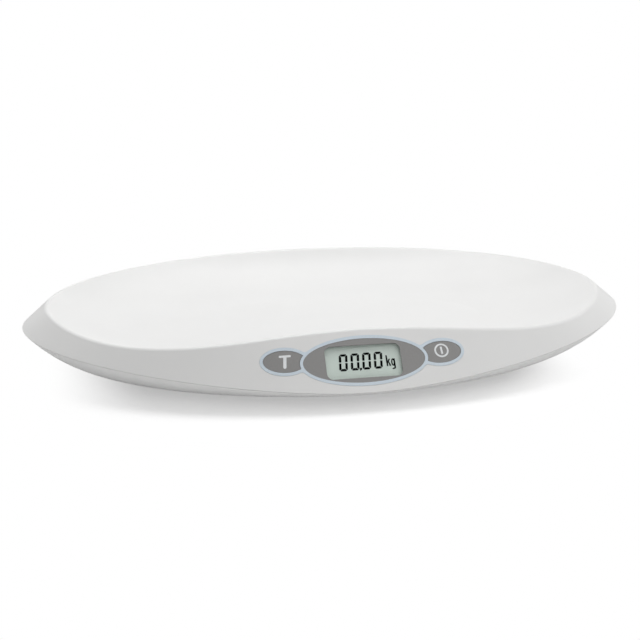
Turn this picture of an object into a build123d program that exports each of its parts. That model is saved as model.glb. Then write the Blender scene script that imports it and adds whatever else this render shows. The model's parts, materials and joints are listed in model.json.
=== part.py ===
"""Digital baby weighing scale: a boat-shaped tray over a shallow tub, on four feet that each press on a load cell.

Millimetres. X runs along the tray, -Y is the front with the display, +Z is up. The origin is on the surface
that the scale stands on, below the middle of the tray.
"""

from build123d import *
import os
from math import acos, cos, exp, pi, sin, sqrt

# ---- overall form of the tray and the tub under it
tray_length = 620.0
tray_width = 375.0
foot_standoff = 8.5  # flat underside above the surface the scale stands on
parting_above = 9.5  # joint line between tray and tub, above the flat underside, at the middle
parting_rise = 25.5  # how much higher the joint line runs at the two ends
parting_blend = 0.2  # roundness of the joint line's lowest stretch
edge_fullness = -0.04  # outline of the widest line, against a plain ellipse
rim_inset_end = 24.5  # the rim lies this far inside the widest line at the ends
rim_inset_back = 23.3
rim_inset_front = 15.8
rim_fullness = 0.21
rim_above = 65.2  # back rim above the flat underside
rim_fall = 9.8  # the rim drops this much from the back to the ends
front_dip = 3.3  # front rim below the back rim, at the middle
front_swell = 48.3  # extra dip of the front rim either side of the display
display_scoop = 23.4  # the front rim curves in this far above the display
scoop_reach = 146.0  # half-width of that curve
rim_round = 4.0
flat_inset_end = 129.0  # the flat underside ends this far inside the widest line
flat_inset_side = 59.5
flat_fullness = -0.16
bowl_floor_above = 22.5  # floor of the bowl above the flat underside
bowl_floor_length = 330.0
bowl_floor_width = 160.0
bowl_shift = 6.0  # the bowl's floor sits a little to the back

# ---- walls and fits
tray_wall = 3.2  # apron wall, measured level
bowl_wall = 3.0
tub_wall = 2.6
tub_floor = 2.5
shut_gap = 0.25  # visible gap at the joint line
lip_gap = 0.4
lip_wall = 1.7
lip_height = 3.0
flange_depth = 3.0
film = 0.05  # glue film or free slip between parts that are drawn touching
key_gap = 0.3  # all round each key
curve_points = 32  # points that a closed outline passes through

# ---- display panel on the front apron
panel_fraction = 0.479  # centre of the panel, from the joint line (0) to the rim (1)
fascia_length = 114.6
fascia_height = 42.4
key_length = 39.6
key_height = 20.8
key_offset = 73.5  # key centre to either side of the panel's centre
key_rise = 4.0  # and above it
key_tilt = 4.0  # degrees, outer end up
trim_width = 3.0
trim_corner = 4.0
trim_proud = 0.25
panel_depth = 1.25  # pocket that the trim and the fascia are glued into
window_length = 71.0
window_height = 31.7
window_corner = 6.0
window_shift = (-1.0, -0.7)  # the window sits this far off the middle of the oval
lens_border = 1.2
lens_gap = 0.2  # slip round the lens and round the display cell
lens_thickness = 1.2
key_flange = 1.2
key_flange_thickness = 1.1
key_travel = 0.6

# ---- display board, square to the panel's own axis
board_depth = 12.0  # front of the board behind the panel's centre
board_length = 182.0
board_height = 42.0
board_thickness = 1.6
board_corner = 3.0
board_cut_length = 20.0  # the lower corners are cut away, clear of the tub's lip
board_cut_height = 9.0
cell_glass_length = 75.4
cell_glass_height = 35.4
cell_glass_thickness = 2.8
cell_glass_depth = 3.9  # front of the display cell behind the panel's centre
holder_wall = 2.0
holder_ledge = 2.0
strip_thickness = 2.2
strip_length = 66.0
post_radius = 3.0
post_from_middle = 52.0
post_from_edge = 5.5
post_from_end = 9.0
post_spots = [  # mirrored left and right
    (post_from_middle, board_height / 2 - post_from_edge),
    (post_from_middle, post_from_edge - board_height / 2),
    (board_length / 2 - post_from_end, -12.0),
]
board_screw_radius = 1.2
board_screw_head = 2.3
board_hole_gap = 0.2
board_screw_length = 7.0
switch_size = 6.0
switch_height = 3.5
plunger_radius = 1.6
plunger_gap = 0.25
plunger_above = 1.0
plunger_below = 1.0
stem_radius = 2.6
chip_spot = (-12.0, 6.0)
chip_size = 10.0
chip_height = 1.6
chip_legs = 7
capacitor_spots = [(22.0, 6.0), (31.0, 6.0)]
capacitor_radius = 3.15
capacitor_height = 5.4
resistor_spots = [(-30.0, 10.0), (-30.0, 6.0), (-30.0, 2.0), (10.0, 10.0), (10.0, 6.0), (10.0, 2.0)]
crystal_spot = (-12.0, 15.5)
socket_spots = [-36.0, 36.0, -24.0, 24.0]  # one for each load cell
socket_rise = -13.0
socket_width = 8.0
socket_height = 5.0
socket_depth = 6.0

# ---- feet and load cells
foot_x = 120.0
foot_y = 62.0
foot_radius = 17.0
foot_gap = 0.8  # the load cell's full travel, and room round the foot
foot_lift = 2.0  # plastic foot above the surface; the pad fills this
well_depth = 2.0
well_border = 1.6
hub_radius = 6.0
hub_gap = 1.5
pad_radius = 14.5
pad_seat = 1.0
load_plate = 40.0
load_plate_thickness = 2.0
load_slot = 3.0
load_tongue = 18.0
bracket_wall = 2.0
bracket_ledge = 3.2
bracket_base = 2.0
bracket_boss_radius = 2.6  # small posts of the tub under the bracket's corners
bracket_rim = 0.6  # the bracket's wall stands this far above the steel plate
gauge_length = 9.0
gauge_width = 6.0
gauge_thickness = 0.8

# ---- battery bay in the middle of the underside
battery_count = 4
battery_radius = 7.1
battery_length = 49.2
battery_nub_radius = 2.7
battery_nub = 1.0
battery_bevel = 0.6
battery_pitch = 14.7
bay_gap = 0.4
bay_wall = 1.6
spring_length = 5.0
contact_thickness = 0.4
lid_thickness = 2.0
lid_gap = 0.35
lid_ledge = 2.4
lid_corner = 4.0
ledge_thickness = 1.5
lid_hook_spot = battery_pitch  # between two cells
lid_hook_width = 3.4
lid_hook_neck = 1.6
lid_hook_reach = 2.6
lid_hook_thickness = 1.3
catch_width = 14.0
catch_length = 9.0
catch_slot = 1.2
catch_nib = 0.7
finger_notch = 3.0
grip_count = 3
plate_width = 9.0
plate_drop = 5.0

# ---- screw posts between tray and tub
screw_spots = [(72.0, 84.0), (72.0, -84.0), (158.0, 0.0)]  # mirrored left and right
screw_radius = 1.75
screw_head_radius = 3.4
screw_head_height = 2.4
screw_head_gap = 0.4
screw_hole_gap = 0.3
screw_length = 13.0
screw_post_radius = 4.2
screw_seat = 2.0  # plastic between the screw head and the tray's post

# ---- ribs
rib_thickness = 1.6
tray_rib_height = 4.0
tub_rib_height = 2.5
tub_rib_spots = (-22.0, 22.0)
tub_rib_reach = 150.0

# ---- inner leads
lead_radius = 1.1
lead_height = 21.0
lead_run = 7.2  # straight out of the socket
lead_sweep = 8.0  # radius of the bend there
lead_lane = 52.0  # the back pair runs beside the battery bay
lead_lane_ends = (-98.0, 40.0)
lead_corner = 15.0  # radius of the bends at both ends of that lane
lead_drop = 2.4  # radius of the bend above the gauge

half_length = tray_length / 2
half_width = tray_width / 2
floor_top = foot_standoff + tub_floor
bowl_bottom = foot_standoff + bowl_floor_above
parts = {}


# ================================================================== form of the shells
def parting_height(x):
    """Height of the joint line: a flat-bottomed curve that climbs towards both ends."""
    u = x / half_length
    full = sqrt(1 + parting_blend**2) - parting_blend
    rise = (sqrt(u * u + parting_blend**2) - parting_blend) / full
    return foot_standoff + parting_above + parting_rise * rise


def edge_point(t, inset=0.0):
    """Point of the widest line at angle t, or of the same line moved in by inset."""
    x = (half_length - inset) * cos(t)
    y = (half_width - inset) * sin(t) * sqrt(1 + edge_fullness * cos(t) ** 2)
    return Vector(x, y, parting_height(x))


def rim_point(t, inset=0.0):
    """Point of the rim: it dips and curves in at the front, above the display."""
    u, s = cos(t), sin(t)
    x = (half_length - rim_inset_end - inset) * u
    back = half_width - rim_inset_back - inset
    front = half_width - rim_inset_front - inset
    reach = (back * (1 + s) + front * (1 - s)) / 2
    y = reach * s * sqrt(1 + rim_fullness * u * u)
    z = foot_standoff + rim_above - rim_fall * u * u
    if s < 0:
        y -= s * display_scoop * exp(-((x / scoop_reach) ** 2))
        z -= (front_dip + front_swell * u * u) * s * s
    return Vector(x, y, z)


def apron_point(t, z, inset=0.0):
    """Point at height z on the straight line that joins the widest line to the rim."""
    low, high = edge_point(t, inset), rim_point(t, inset)
    return low + (high - low) * ((z - low.Z) / (high.Z - low.Z))


def bowl_point(t, q, drop=0.0):
    """Point of the bowl: q is 0 on its flat floor and 1 at the rim, and the wall is a parabola between."""
    rim = rim_point(t)
    x = bowl_floor_length / 2 * cos(t)
    y = bowl_floor_width / 2 * sin(t) + bowl_shift
    z = bowl_bottom - drop + (rim.Z - bowl_bottom) * q * q
    return Vector(x + (rim.X - x) * q, y + (rim.Y - y) * q, z)


def tub_point(t, q, inset=0.0, lift=0.0):
    """Point of the tub: upright at the joint line (q = 0), rounding in to the flat underside (q = 1)."""
    edge = edge_point(t, inset)
    low = foot_standoff + lift
    x = (half_length - flat_inset_end - inset) * cos(t)
    y = (half_width - flat_inset_side - inset) * sin(t) * sqrt(1 + flat_fullness * cos(t) ** 2)
    z = low + (edge.Z - low) * (1 - q) ** 2
    return Vector(edge.X + (x - edge.X) * q * q, edge.Y + (y - edge.Y) * q * q, z)


def closed_outline(point, seam):
    """Smooth closed curve through point(t), as two edges that meet at the angle seam and opposite it."""
    spots = [point(seam + 2 * pi * i / curve_points) for i in range(curve_points)]
    knots = [float(i) for i in range(curve_points + 1)]
    loop = Edge.make_spline(spots, periodic=True, parameters=knots)
    return Wire([loop.trim(0, 0.5), loop.trim(0.5, 1)])


def banded_solid(seam, *bands):
    """Solid whose side is made of bands, each lofted through its outlines, with a flat face at both ends."""
    faces, wires = [], []
    for band in bands:
        outlines = [closed_outline(point, seam) for point in band]
        faces += Shell.make_loft(outlines, ruled=len(outlines) == 2).faces()
        wires += outlines
    return Solid(Shell([*faces, Face(wires[0]), Face(wires[-1])]))


form_low = foot_standoff + parting_above / 3
form_high = foot_standoff + rim_above + 12.0


def apron_solid(inset=0.0):
    """Everything inside the apron, carried on straight below the joint line and above the rim."""
    return banded_solid(
        pi / 2,
        [lambda t, z=z: apron_point(t, z, inset) for z in (form_low, form_high)],
    )


def bowl_solid(drop=0.0):
    """The space in the bowl, carried on outwards above the rim."""
    past_rim = 1.1
    top = form_high + 6.0 - drop

    def flare(t):
        high, rim = bowl_point(t, past_rim, drop), bowl_point(t, 1.0, drop)
        return high + (high - rim) * ((top - high.Z) / (high.Z - rim.Z))

    wall = [lambda t, q=q: bowl_point(t, q, drop) for q in (past_rim, past_rim / 2, 0.0)]
    return banded_solid(0.0, [flare, wall[0]], wall)


def tub_solid(inset=0.0, lift=0.0):
    """Everything inside the tub, carried straight up past the joint line."""

    def upright(t):
        edge = edge_point(t, inset)
        return Vector(edge.X, edge.Y, foot_standoff + rim_above)

    wall = [lambda t, q=q: tub_point(t, q, inset, lift) for q in (0.0, 0.5, 1.0)]
    return banded_solid(pi / 2, [upright, wall[0]], wall)


def above_joint(offset=0.0):
    """Everything above the joint surface, which is the joint line carried straight through from front to back."""
    far = half_length + 60.0
    top = foot_standoff + rim_above + 60.0
    steps = 24
    line = [far * (2 * i / steps - 1) for i in range(steps + 1)]
    curve = Edge.make_spline([(x, 0, parting_height(x) + offset) for x in line])
    ends = parting_height(far) + offset
    sides = Wire.make_polygon([(far, 0, ends), (far, 0, top), (-far, 0, top), (-far, 0, ends)], close=False)
    return extrude(Face(Wire([curve, *sides.edges()])), amount=half_width + 60.0, dir=(0, 1, 0), both=True)


# ================================================================== small helpers
def box_between(low, high):
    size = [b - a for a, b in zip(low, high)]
    middle = [(a + b) / 2 for a, b in zip(low, high)]
    return Pos(*middle) * Box(*size)


def upright_rod(x, y, z_low, z_high, radius):
    return Pos(x, y, z_low) * extrude(Circle(radius), amount=z_high - z_low)


def four_ways(x, y):
    return [(sx * x, sy * y) for sx in (-1, 1) for sy in (-1, 1)]


def keep(name, *shapes):
    solids = [s for shape in shapes for s in shape.solids()]
    parts[name] = solids[0] if len(solids) == 1 else Compound(children=solids)


# ================================================================== panel frame of reference
def panel_plane():
    """Plane of the panel: its centre on the apron, X along the tray, Z out of the apron."""
    low, high = edge_point(-pi / 2), rim_point(-pi / 2)
    up = (high - low).normalized()
    return Plane(origin=low + (high - low) * panel_fraction, x_dir=(1, 0, 0), z_dir=Vector(0, -up.Z, up.Y))


panel = panel_plane()
window_middle = Pos(*window_shift)
face_share = abs(panel.z_dir.Y)  # wall thickness square to the apron, as a share of the level one
wall_square = tray_wall * face_share


def into(depth):
    """Panel plane moved into the scale by depth."""
    return panel.offset(-depth)


def prism(sketch, shallow, deep):
    """Straight prism of a panel outline between two depths behind the panel's centre."""
    return extrude(into(deep) * sketch, amount=deep - shallow)


def skin_slice(sketch, shallow, deep):
    """Slice of a panel outline between two depths below the apron's own curved face."""
    column = prism(sketch, -8.0, 30.0)
    return (column & apron_solid(shallow / face_share)) - apron_solid(deep / face_share)


def fascia_outline(grow=0.0):
    return Ellipse(fascia_length / 2 + grow, fascia_height / 2 + grow)


def key_oval(side, grow=0.0):
    oval = Rot(0, 0, side * key_tilt) * Ellipse(key_length / 2 + grow, key_height / 2 + grow)
    return Pos(side * key_offset, key_rise) * oval


def key_outline(side, grow=0.0):
    """Oval whose inner end is bitten by the trim round the fascia."""
    return key_oval(side, grow) - fascia_outline(trim_width - grow)


def trim_outline(grow=0.0):
    """Outline round the fascia and both keys, with the inner corners rounded."""
    oval = fascia_outline(trim_width + grow)
    whole = oval + key_oval(-1, trim_width + grow) + key_oval(1, trim_width + grow)
    corners = [v for v in whole.vertices() if abs(v.X) > 1.0]
    return fillet(corners, trim_corner)


def window_outline(grow=0.0):
    return window_middle * RectangleRounded(window_length + 2 * grow, window_height + 2 * grow, window_corner)


def apron_fall(x, rise=0.0):
    """How far the apron has curved back from the panel plane, x along it and rise above its centre."""
    t = acos(x / half_length)
    height = (rim_point(-pi / 2) - edge_point(-pi / 2)).length
    low, high = edge_point(-t), rim_point(-t)
    spot = low + (high - low) * (panel_fraction + rise / height)
    return -(spot - panel.origin).dot(panel.z_dir)


lens_reach = window_length / 2 + lens_border + abs(window_shift[0])
window_fall = max(apron_fall(lens_reach, window_shift[1] + side * window_height / 2) for side in (-1, 1))
lens_front = panel_depth + window_fall + film
key_fall = apron_fall(key_offset, key_rise)
flange_top = wall_square + key_gap  # below the apron's face
switch_top = board_depth - switch_height
plunger_top = switch_top - plunger_above
board_back = board_depth + board_thickness
post_places = [(side * x, y) for x, y in post_spots for side in (-1, 1)]


# ================================================================== tray
def mirrored_screws():
    return sorted({(side * x, y) for x, y in screw_spots for side in (-1, 1)})


post_foot = floor_top + screw_head_height + screw_seat  # the tray's screw posts stand on the tub's here
post_hole_depth = screw_length - screw_seat + 1.0


def under_bowl():
    """Screw posts below the bowl and the ribs that tie them together."""
    (x, y), _, (far_x, _) = screw_spots
    half, low, high = rib_thickness / 2, bowl_bottom - bowl_wall - tray_rib_height, bowl_bottom + tray_rib_height
    pieces = [box_between((-x, s * y - half, low), (x, s * y + half, high)) for s in (-1, 1)]
    pieces += [box_between((s * x - half, -y, low), (s * x + half, y, high)) for s in (-1, 1)]
    pieces += [box_between((min(s * x, s * far_x), -half, low), (max(s * x, s * far_x), half, high)) for s in (-1, 1)]
    pieces += [upright_rod(x, y, post_foot, high, screw_post_radius) for x, y in mirrored_screws()]
    return Part() + pieces - bowl_solid(bowl_wall / 2)


def tray_shell():
    outer = apron_solid() - bowl_solid()
    rim = [e for e in outer.edges() if min((e @ 0).Z, (e @ 0.5).Z, (e @ 1).Z) > bowl_bottom + 10]
    outer = fillet(rim, rim_round) & above_joint(shut_gap / 2)
    shell = outer - (apron_solid(tray_wall) - bowl_solid(bowl_wall))

    shell -= skin_slice(trim_outline(key_gap / 2), -2.0, panel_depth)
    openings = window_outline(lens_border + lens_gap) + key_outline(-1, key_gap / 2) + key_outline(1, key_gap / 2)
    shell -= prism(openings, -4.0, 9.0)

    hole_depth = board_screw_length - board_thickness + 0.6
    for x, y in post_places:
        post = prism(Pos(x, y) * Circle(post_radius), 0.0, board_depth) & apron_solid(tray_wall / 2)
        shell += post - prism(Pos(x, y) * Circle(board_screw_radius + film), board_depth - hole_depth, board_depth)
    shell += under_bowl()
    for x, y in mirrored_screws():
        shell -= upright_rod(x, y, post_foot - 1, post_foot + post_hole_depth, screw_radius + film)
    return shell


# ================================================================== tub and its battery bay
well_top = foot_standoff + well_depth
bracket_half = load_plate / 2 + film + bracket_wall
bracket_boss = bracket_half - bracket_boss_radius
bracket_floor = well_top + tub_floor
ledge_top = foot_standoff + lid_thickness + lid_gap + ledge_thickness
bay_width = battery_pitch * battery_count + 2 * bay_gap
bay_length = battery_length + battery_nub + spring_length + 2 * contact_thickness + bay_gap
bay_roof = foot_standoff + lid_thickness + 2 * bay_gap + 2 * battery_radius
battery_axis = foot_standoff + lid_thickness + bay_gap + battery_radius
hinge_y = bay_length / 2 + lid_ledge  # the lid swings on its recess's back edge
hook_low = ledge_top + 0.4
hook_high = hook_low + lid_hook_thickness
hook_swing = sqrt(lid_hook_reach**2 + (hook_high - foot_standoff) ** 2)


def tub_ribs():
    """Low ribs across the floor, from the battery bay out towards the ends."""
    half, low, high = rib_thickness / 2, floor_top - tub_floor / 2, floor_top + tub_rib_height
    start = bay_width / 2 + lid_ledge
    ribs = []
    for side in (-1, 1):
        for y in tub_rib_spots:
            near, far = side * start, side * tub_rib_reach
            ribs.append(box_between((min(near, far), y - half, low), (max(near, far), y + half, high)))
    return ribs


def battery_bay(shell):
    """Adds the bay's box and ledge to the tub, and cuts its space, the lid's recess and the hook slots."""
    wide, deep = bay_width / 2, bay_length / 2
    rim = lid_ledge + ledge_thickness
    low = foot_standoff + tub_floor / 2
    shell += box_between((-wide - rim, -deep - rim, low), (wide + rim, deep + rim, ledge_top))
    walls = (wide + bay_wall, deep + bay_wall, bay_roof + bay_wall)
    shell += box_between((-walls[0], -walls[1], low), walls)
    shell -= box_between((-wide, -deep, foot_standoff - 1), (wide, deep, bay_roof))
    recess = RectangleRounded(bay_width + 2 * lid_ledge, bay_length + 2 * lid_ledge, lid_corner)
    shell -= Pos(0, 0, foot_standoff - 1) * extrude(recess, amount=lid_thickness + lid_gap + 1)
    for side in (-1, 1):
        x, half = side * lid_hook_spot, lid_hook_width / 2 + lid_gap
        slot_top = foot_standoff + hook_swing + lid_gap
        shell -= box_between((x - half, deep - 1, foot_standoff - 1), (x + half, hinge_y, slot_top))
    notch = catch_width / 2 + lid_gap
    grip = foot_standoff + lid_thickness / 2
    shell -= box_between((-notch, -hinge_y - finger_notch, foot_standoff - 1), (notch, -hinge_y + 1, grip))
    return shell


def base_shell():
    outer = tub_solid() - above_joint(-shut_gap / 2)
    shell = outer - tub_solid(tub_wall, tub_floor)

    ring = tub_solid() - tub_solid(tray_wall + lip_gap + lip_wall)
    flange = ring & (above_joint(-flange_depth) - above_joint(-shut_gap / 2))
    lip = apron_solid(tray_wall + lip_gap) - apron_solid(tray_wall + lip_gap + lip_wall)
    lip = lip & (above_joint(-shut_gap) - above_joint(lip_height))
    shell = shell + flange + lip

    shell += tub_ribs()
    for x, y in four_ways(foot_x, foot_y):
        wide = foot_radius + foot_gap
        shell += upright_rod(x, y, foot_standoff + tub_floor / 2, bracket_floor, wide + well_border)
        shell -= upright_rod(x, y, foot_standoff - 1, well_top, wide)
        shell -= upright_rod(x, y, foot_standoff, bracket_floor + 1, hub_radius + hub_gap)
        for dx, dy in four_ways(bracket_boss, bracket_boss):
            shell += upright_rod(x + dx, y + dy, foot_standoff + tub_floor / 2, bracket_floor, bracket_boss_radius)
    for x, y in mirrored_screws():
        shell += upright_rod(x, y, foot_standoff + tub_floor / 2, post_foot, screw_post_radius + 1.0)
        shell -= upright_rod(x, y, foot_standoff - 1, post_foot - screw_seat, screw_head_radius + screw_head_gap)
        shell -= upright_rod(x, y, foot_standoff, post_foot + 1, screw_radius + screw_hole_gap)
    return battery_bay(shell)


# ================================================================== panel pieces
def panel_trim():
    outline = trim_outline() - fascia_outline(film) - key_outline(-1, key_gap / 2) - key_outline(1, key_gap / 2)
    return skin_slice(outline, -trim_proud, panel_depth - film)


def display_fascia():
    plate = skin_slice(fascia_outline() - window_outline(), 0.0, panel_depth - film)
    skirt = window_outline(lens_border / 2) - window_outline()
    return plate + prism(skirt, panel_depth / 2, lens_front - film)


def display_lens():
    return prism(window_outline(lens_border), lens_front, lens_front + lens_thickness)


def key(side):
    """Key cap with a flange that keeps it behind the apron wall, and a stem that reaches the switch."""
    cap = skin_slice(key_outline(side, -key_gap / 2), 0.0, flange_top + key_flange_thickness)
    flange = skin_slice(key_outline(side, key_flange), flange_top, flange_top + key_flange_thickness)
    stem = prism(Pos(side * key_offset, key_rise) * Circle(stem_radius), key_fall + flange_top + 0.3, plunger_top)
    return cap + flange + stem


def switch_plunger(side):
    return prism(Pos(side * key_offset, key_rise) * Circle(plunger_radius), plunger_top, switch_top + plunger_below)


def switch_body(side):
    spot = Pos(side * key_offset, key_rise)
    body = prism(spot * RectangleRounded(switch_size, switch_size, 0.6), switch_top, board_depth)
    bore = prism(
        spot * Circle(plunger_radius + plunger_gap), switch_top, switch_top + plunger_below + key_travel + plunger_gap
    )
    return body - bore


# ================================================================== display and board
glass_back = cell_glass_depth + cell_glass_thickness
contact_step = 3.0  # the front glass stands out this far below the back one, and carries the contacts


def display_cell():
    middle = cell_glass_depth + cell_glass_thickness / 2
    front = window_middle * Rectangle(cell_glass_length, cell_glass_height)
    back = Pos(0, contact_step / 2) * Rectangle(cell_glass_length, cell_glass_height - contact_step)
    return prism(front, cell_glass_depth, middle) + prism(window_middle * back, middle, glass_back)


def display_holder():
    """Frame that stands on the board, holds the glass by its edges and leaves a slot for the contact strip."""
    wide, high = cell_glass_length + 2 * lens_gap, cell_glass_height + 2 * lens_gap
    outline = RectangleRounded(wide + 2 * holder_wall, high + 2 * holder_wall, holder_wall)
    ring = prism(window_middle * (outline - Rectangle(wide, high)), 0.0, board_depth)
    ring = ring & apron_solid(tray_wall + key_gap)
    inner = Pos(0, contact_step / 2) * Rectangle(wide - 2 * holder_ledge, high - 2 * holder_ledge - contact_step)
    shelf = Rectangle(wide, high) - inner - Pos(0, -high / 2) * Rectangle(strip_length + 1, 2 * contact_step)
    return ring + prism(window_middle * shelf, glass_back + film, glass_back + film + holder_ledge)


def contact_strip():
    strip = Pos(0, (contact_step - cell_glass_height) / 2) * Rectangle(strip_length, strip_thickness)
    return prism(window_middle * strip, cell_glass_depth + cell_glass_thickness / 2, board_depth)


def display_board():
    half, low = board_length / 2, -board_height / 2
    outline = Rectangle(board_length, board_height)
    for side in (-1, 1):
        corner = [(side * half, low), (side * (half - board_cut_length), low), (side * half, low + board_cut_height)]
        outline -= make_face(Polyline(*corner, close=True))
    outline = fillet(outline.vertices(), board_corner)
    for x, y in post_places:
        outline -= Pos(x, y) * Circle(board_screw_radius + board_hole_gap)
    return prism(outline, board_depth, board_back)


def board_screw(x, y):
    shank_end = board_back - board_screw_length
    shank = prism(Pos(x, y) * Circle(board_screw_radius), shank_end, board_back)
    head = prism(Pos(x, y) * Circle(board_screw_head), board_back, board_back + board_screw_head * 0.8)
    slot = prism(Pos(x, y) * Rectangle(board_screw_head * 1.3, 0.6), board_back + board_screw_head * 0.4, board_back + 9)
    return shank + head - slot


def controller_chip():
    body = prism(Pos(*chip_spot) * Rectangle(chip_size, chip_size), board_back + 0.1, board_back + chip_height)
    legs = []
    for i in range(chip_legs):
        along = (i - (chip_legs - 1) / 2) * chip_size / chip_legs
        legs += [Pos(along, 0) * Rectangle(0.5, chip_size + 2.4), Pos(0, along) * Rectangle(chip_size + 2.4, 0.5)]
    feet = [prism(Pos(*chip_spot) * leg, board_back, board_back + 0.3) for leg in legs]
    return body + feet


def board_components():
    """Capacitors, resistors and the crystal on the back of the board."""
    drum = Circle(capacitor_radius)
    pieces = [prism(Pos(x, y) * drum, board_back, board_back + capacitor_height) for x, y in capacitor_spots]
    pieces += [prism(Pos(x, y) * Rectangle(3.2, 1.6), board_back, board_back + 0.9) for x, y in resistor_spots]
    return pieces + [prism(Pos(*crystal_spot) * RectangleRounded(10.5, 4.2, 2.0), board_back, board_back + 3.4)]


def lead_socket(x):
    return prism(Pos(x, socket_rise) * Rectangle(socket_width, socket_height), board_back, board_back + socket_depth)


# ================================================================== feet and load cells
plate_low = bracket_floor + bracket_base
plate_high = plate_low + load_plate_thickness


def foot_pad(x, y):
    pad = upright_rod(x, y, 0, foot_lift + pad_seat, pad_radius)
    return chamfer(pad.edges().sort_by(Axis.Z)[0], 0.6)


def foot(x, y):
    top = well_top - foot_gap
    disc = upright_rod(x, y, foot_lift, top, foot_radius)
    disc = chamfer(disc.edges().sort_by(Axis.Z)[0], 1.2)
    disc -= upright_rod(x, y, 0, foot_lift + pad_seat, pad_radius + film)
    return disc + upright_rod(x, y, top, plate_low, hub_radius)


def load_cell(x, y):
    """Square steel plate with a slot round three sides of a tongue, which the foot's hub bends."""
    way = 1 if y > 0 else -1
    slot = Rectangle(load_tongue + 2 * load_slot, load_tongue + 2 * load_slot)
    slot -= Pos(0, way * load_slot) * Rectangle(load_tongue, load_tongue + 2 * load_slot)
    plate = Rectangle(load_plate, load_plate) - slot
    return Pos(x, y, plate_low) * extrude(plate, amount=load_plate_thickness)


def gauge_place(x, y):
    return (x, y + (1 if y > 0 else -1) * (load_tongue / 2 - 1))


def strain_gauge(x, y):
    blob = Pos(*gauge_place(x, y), plate_high) * extrude(Rectangle(gauge_length, gauge_width), amount=gauge_thickness)
    return fillet(blob.edges().group_by(Axis.Z)[-1], gauge_thickness / 2)


def load_bracket(x, y):
    outer = 2 * bracket_half
    inside = load_plate - 2 * bracket_ledge
    ring = RectangleRounded(outer, outer, bracket_boss_radius) - Rectangle(inside, inside)
    frame = Pos(x, y, bracket_floor) * extrude(ring, amount=plate_high + bracket_rim - bracket_floor)
    pocket = Rectangle(load_plate + 2 * film, load_plate + 2 * film)
    return frame - Pos(x, y, plate_low) * extrude(pocket, amount=load_plate_thickness + 1)


# ================================================================== batteries, their contacts and the lid
def battery_places():
    """(x, way) of each cell: way is +1 where its nub points to the back."""
    middle = (battery_count - 1) / 2
    return [((i - middle) * battery_pitch, 1 if i % 2 else -1) for i in range(battery_count)]


def battery(x, way):
    nub_end = way * (bay_length / 2 - contact_thickness)
    along = Plane(origin=(x, nub_end, battery_axis), z_dir=(0, -way, 0))
    nub = extrude(along * Circle(battery_nub_radius), amount=battery_nub + 0.2)
    body = extrude(along.offset(battery_nub) * Circle(battery_radius), amount=battery_length)
    body = chamfer(body.edges().filter_by(GeomType.CIRCLE), battery_bevel)
    return body + nub


def battery_plates():
    """Flat contact at each end of each cell, against the bay's end walls."""
    plates = []
    for x, _ in battery_places():
        for end in (-1, 1):
            near, far = end * (bay_length / 2 - contact_thickness), end * bay_length / 2
            low = (x - plate_width / 2, min(near, far), battery_axis - plate_drop)
            plates.append(box_between(low, (x + plate_width / 2, max(near, far), battery_axis + plate_drop)))
    return plates


def leaf(start, end, width, thickness):
    """Flat strip from start to end, as wide as given along X."""
    along = end - start
    plane = Plane(origin=(start + end) / 2, x_dir=(1, 0, 0), z_dir=along.normalized())
    return plane * Box(width, thickness, along.length + thickness)


def battery_spring(x, way):
    """Bent leaf between the end wall's plate and the flat end of a cell."""
    wall = -way * (bay_length / 2 - 1.5 * contact_thickness - film)
    reach = way * (spring_length + bay_gap - 1.5 * contact_thickness - film)
    bends = [(0, -3.4), (0, 2.8), (0.5, 3.8), (1, 0.3), (0.5, -3.2)]
    path = [Vector(x, wall + reach * along, battery_axis + rise) for along, rise in bends]
    return Part() + [leaf(a, b, plate_width * 0.66, contact_thickness) for a, b in zip(path, path[1:])]


def battery_lid():
    """Lid in its recess, with two hooks at the back and a springy catch at the front."""
    outline = RectangleRounded(bay_width + 2 * (lid_ledge - lid_gap), bay_length + 2 * (lid_ledge - lid_gap), lid_corner)
    front = -(bay_length / 2 + lid_ledge - lid_gap)
    for side in (-1, 1):
        outline -= Pos(side * catch_width / 2, front + catch_length / 2) * Rectangle(catch_slot, catch_length)
    lid = Pos(0, 0, foot_standoff) * extrude(outline, amount=lid_thickness)
    for i in range(grip_count):
        y = front + 3.0 + i * 2.2
        lid -= box_between(
            (-catch_width / 2 + 3, y - 0.5, foot_standoff - 1), (catch_width / 2 - 3, y + 0.5, foot_standoff + 0.5)
        )
    inside = bay_length / 2 - 1.5
    for x in (-bay_width / 4, 0, bay_width / 4):
        half = rib_thickness / 2
        lid += box_between(
            (x - half, -inside + catch_length, foot_standoff + 1),
            (x + half, inside - 4, foot_standoff + lid_thickness + bay_gap / 2),
        )
    back = hinge_y - lid_gap
    for side in (-1, 1):
        x, half = side * lid_hook_spot, lid_hook_width / 2
        lid += box_between((x - half, back - lid_hook_neck, foot_standoff + 1), (x + half, back, hook_high))
        lid += box_between((x - half, back - 0.1, hook_low), (x + half, hinge_y + lid_hook_reach, hook_high))
    nib, low = catch_width / 4, foot_standoff + lid_thickness / 4
    lid += box_between((-nib, front - catch_nib, low), (nib, front + 0.5, low + lid_thickness / 4))
    return lid


# ================================================================== screws and leads
def housing_screw(x, y):
    seat = post_foot - screw_seat
    screw = upright_rod(x, y, seat, seat + screw_length, screw_radius)
    screw += upright_rod(x, y, seat - screw_head_height, seat, screw_head_radius)
    for size in ((screw_head_radius * 1.1, 0.9), (0.9, screw_head_radius * 1.1)):
        screw -= Pos(x, y, seat - screw_head_height) * Box(*size, screw_head_height)
    return screw


def lead(points, bends):
    """Tube through the points, with one bend radius for each point between the ends."""
    path = FilletPolyline(*points, radius=bends)
    return sweep(Plane(origin=path @ 0, z_dir=path % 0) * Circle(lead_radius), path=path)


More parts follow.
